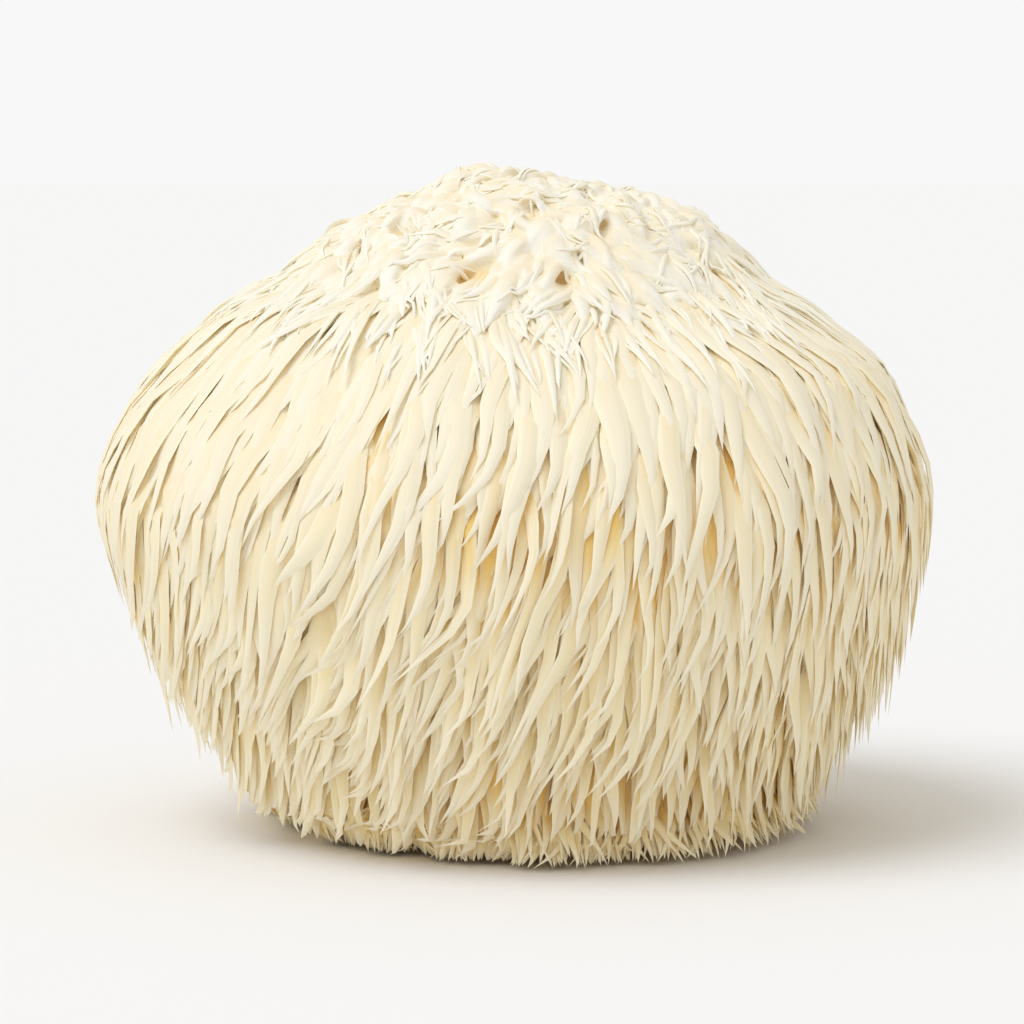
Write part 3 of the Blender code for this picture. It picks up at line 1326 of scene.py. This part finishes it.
@dataclass
class HemSpines:
    """The short blunt spines round the foot, splayed over the surface that the mushroom stands on."""

    envelope: Envelope
    shape: StrandShape
    count: int = 1300
    seed: int = 37

    def build(self) -> bpy.types.Object:
        """The hem as one joined piece."""
        rng = np.random.default_rng(self.seed)
        azimuth = np.arange(self.count) * GOLDEN_ANGLE + rng.uniform(-0.02, 0.02, self.count)
        height = rng.uniform(5.0, 14.0, self.count) * MM
        reach = self.envelope.length(azimuth)
        share = 1.0 - height / reach
        along = np.array(self.shape.stations)[None, :]
        splay = 0.36 * rng.normal(0.0, 1.0, self.count) - 0.08
        front = np.clip(-np.sin(azimuth), 0.0, 1.0)
        stand_off = rng.uniform(1.0, 4.0, self.count) + 2.2 * front
        length = height - (1.2 + 0.45 * stand_off + 3.2 * rng.beta(1.0, 1.6, self.count)) * MM
        run = share[:, None] + length[:, None] * along / reach[:, None]
        here, _ = self.envelope.place(azimuth[:, None] + 0 * along, run, np.zeros_like(run))
        aside = length[:, None] * (splay[:, None] * along**1.7)
        turn = azimuth[:, None] + aside / np.hypot(here[..., 0], here[..., 1])
        middle = (rng.uniform(0.5, 4.2, self.count) - 0.8 * front)[:, None] * MM
        tip = middle - stand_off[:, None] * MM
        depth = middle + (6.8 * MM - middle) * (1 - along) ** 2 + (tip - middle) * along**2
        points, normals = self.envelope.place(turn, run, depth)
        points = self._shortened(points)
        half_width = rng.uniform(0.6, 1.1, self.count) * MM
        roll = 0.5 * rng.normal(0.0, 1.0, self.count)[:, None] * (0.4 + along)
        flatness = rng.uniform(0.35, 0.55, self.count)
        tones = rng.uniform(0.4, 1.2, self.count)
        # The depths noted for the finish are deepened, so the hem gets more golden painted shade near the
        # floor.
        strands = Strands(
            self.shape, points, normals, half_width, flatness, roll, 1.5 * depth + 0.6 * MM, tones,
            taper_from=0.5, taper_power=0.75, root_width=0.7,
        )
        return strands.make("hem_spines")

    @staticmethod
    def _shortened(points: np.ndarray) -> np.ndarray:
        """The strands' points, with each strand that would pass through the floor shortened to end above it.

        Args:
            points: The points, a row of stations for each strand.

        Returns:
            The points, with every root where it was.
        """
        root = points[:, :1]
        drop = np.maximum((root[..., 2] - points[..., 2]).max(axis=1), 0.1 * MM)
        room = np.maximum(root[:, 0, 2] - 0.7 * MM, 0.0)
        return root + (points - root) * np.minimum(1.0, room / drop)[:, None, None]


# ---------------------------------------------------------------- the studio


@dataclass
class Studio:
    """The pale floor, the soft light and the camera."""

    floor_size: float = 30.0
    floor_colour: tuple[float, float, float, float] = colour(0.905, 0.909, 0.929)
    sky: float = 0.67
    sky_tint: tuple[float, float, float] = (1.03, 1.0, 0.93)
    backdrop: float = 0.94
    bounces: int = 10
    sun_power: float = 1.29
    sun_tint: tuple[float, float, float] = (0.975, 1.0, 1.06)
    sun_spread: float = math.radians(38)
    sun_height: float = math.radians(58)
    sun_azimuth: float = math.radians(-147)
    lens: float = 135.0
    distance: float = 0.643
    elevation: float = math.radians(5.09)
    aim: tuple[float, float, float] = (-0.00117, 0.0, 0.05240)

    def build(self) -> None:
        """Adds everything that isn't the mushroom."""
        self._floor()
        self._light()
        self._camera()

    def _floor(self) -> None:
        """A plain pale floor."""
        shape = bmesh.new()
        bmesh.ops.create_grid(shape, x_segments=1, y_segments=1, size=self.floor_size)
        mesh = bpy.data.meshes.new("floor")
        shape.to_mesh(mesh)
        shape.free()
        material = bpy.data.materials.new("floor_paper")
        material.use_nodes = True
        shader = material.node_tree.nodes["Principled BSDF"]
        shader.inputs["Base Color"].default_value = self.floor_colour
        shader.inputs["Roughness"].default_value = 1.0
        shader.inputs["Specular IOR Level"].default_value = 0.0
        mesh.materials.append(material)
        floor = bpy.data.objects.new("floor", mesh)
        bpy.context.scene.collection.objects.link(floor)

    def _light(self) -> None:
        """A pale sky, and one broad lamp from the upper left in front."""
        scene = bpy.context.scene
        scene.view_settings.view_transform = "Standard"
        scene.cycles.diffuse_bounces = self.bounces
        world = bpy.data.worlds.new("pale_room")
        world.use_nodes = True
        tree = Tree(world.node_tree)
        seen = tree.add("ShaderNodeBackground")
        seen.inputs["Color"].default_value = colour(self.backdrop, self.backdrop, self.backdrop)
        lit = tree.add("ShaderNodeBackground")
        lit.inputs["Color"].default_value = colour(*(self.sky * part for part in self.sky_tint))
        mixed = tree.add("ShaderNodeMixShader")
        tree.join(tree.add("ShaderNodeLightPath").outputs["Is Camera Ray"], mixed.inputs[0])
        tree.join(lit.outputs[0], mixed.inputs[1])
        tree.join(seen.outputs[0], mixed.inputs[2])
        tree.join(mixed.outputs[0], tree.add("ShaderNodeOutputWorld").inputs[0])
        scene.world = world
        lamp = bpy.data.lights.new("key_lamp", "SUN")
        lamp.energy = self.sun_power
        lamp.color = self.sun_tint
        lamp.angle = self.sun_spread
        key = bpy.data.objects.new("key_lamp", lamp)
        level = math.cos(self.sun_height)
        right, back = level * math.cos(self.sun_azimuth), level * math.sin(self.sun_azimuth)
        way = Vector((right, back, math.sin(self.sun_height)))
        key.rotation_mode = "QUATERNION"
        key.rotation_quaternion = way.to_track_quat("Z", "Y")
        scene.collection.objects.link(key)

    def _camera(self) -> None:
        """The camera, a little above the mushroom's middle."""
        data = bpy.data.cameras.new("camera")
        data.lens = self.lens
        data.sensor_width = 36.0
        data.clip_start = 0.01
        data.clip_end = 100.0
        camera = bpy.data.objects.new("camera", data)
        back = Vector((0.0, -math.cos(self.elevation), math.sin(self.elevation)))
        camera.location = Vector(self.aim) + back * self.distance
        camera.rotation_mode = "QUATERNION"
        camera.rotation_quaternion = back.to_track_quat("Z", "Y")
        bpy.context.scene.collection.objects.link(camera)
        bpy.context.scene.camera = camera


# ---------------------------------------------------------------- building it


def main() -> None:
    """Builds and dresses every piece in order."""
    logging.basicConfig(level=logging.INFO, format="%(name)s: %(message)s")
    fibre, tint = fibre_group(), tint_group()
    spine_finish = StrandFinish("spine_skin").make(fibre, tint)
    # The curls' colours include a painted edge highlight and golden painted shade.
    curl_finish = StrandFinish(
        "curl_skin", pale=colour(0.96, 0.945, 0.88), warm=colour(0.95, 0.92, 0.80),
        edge_highlight=colour(0.97, 0.94, 0.80), golden=colour(0.90, 0.67, 0.26), fibres=3.0, groove_strength=0.5,
    ).make(fibre, tint)
    # The flesh under the spines takes the golden painted shade of the defaults.
    inner_shade_finish = FleshFinish("inner_flesh_shade").make()
    cut_finish = FleshFinish("cut_flesh", pale=colour(0.90, 0.80, 0.58), dark=colour(0.80, 0.64, 0.38)).make()
    envelope = Envelope()
    shape = StrandShape()

    flesh = dress(Flesh(envelope).build(), inner_shade_finish, cut_finish)
    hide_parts(BODY_NODE)
    for piece in HangingSpines(envelope, shape).build():
        dress(piece, spine_finish)
    mat_tufts = Tufts(
        envelope, shape, count=950, fibres=1, edge=40.0 * MM, front_reach=8.0 * MM,
        length=(7.0 * MM, 13.0 * MM), outer_length=4.0 * MM, width=(0.9 * MM, 2.0 * MM), fibre_share=1.0,
        sunk=(-1.2 * MM, 0.6 * MM), rise=(0.2 * MM, 1.3 * MM), root_dive=1.8 * MM, tip_dive=1.6 * MM,
        flatness=(0.45, 0.75), outer_sunk=1.7 * MM, wildness=2.0, taper=(0.45, 0.7), seed=23,
    )
    mat = dress(CrownMat(mat_tufts).build(), curl_finish)
    cover = BVHTree.FromPolygons([v.co for v in mat.data.vertices], [p.vertices for p in mat.data.polygons])
    curl_tufts = Tufts(
        envelope, shape, count=620, fibres=3, edge=47.0 * MM, front_reach=8.0 * MM,
        length=(6.0 * MM, 12.0 * MM), outer_length=11.0 * MM, width=(0.9 * MM, 2.0 * MM), fibre_share=0.42,
        sunk=(-0.45 * MM, 0.15 * MM), rise=(0.0 * MM, 0.7 * MM), root_dive=1.8 * MM, tip_dive=0.3 * MM,
        flatness=(0.5, 0.8), outer_sunk=0.0, wildness=2.0, taper=(0.5, 0.65), seed=29,
    )
    dress(curl_tufts.lay(cover).make("crown_curls"), curl_finish)
    dress(HemSpines(envelope, shape).build(), spine_finish)
    Studio().build()


if __name__ == "__main__":
    main()
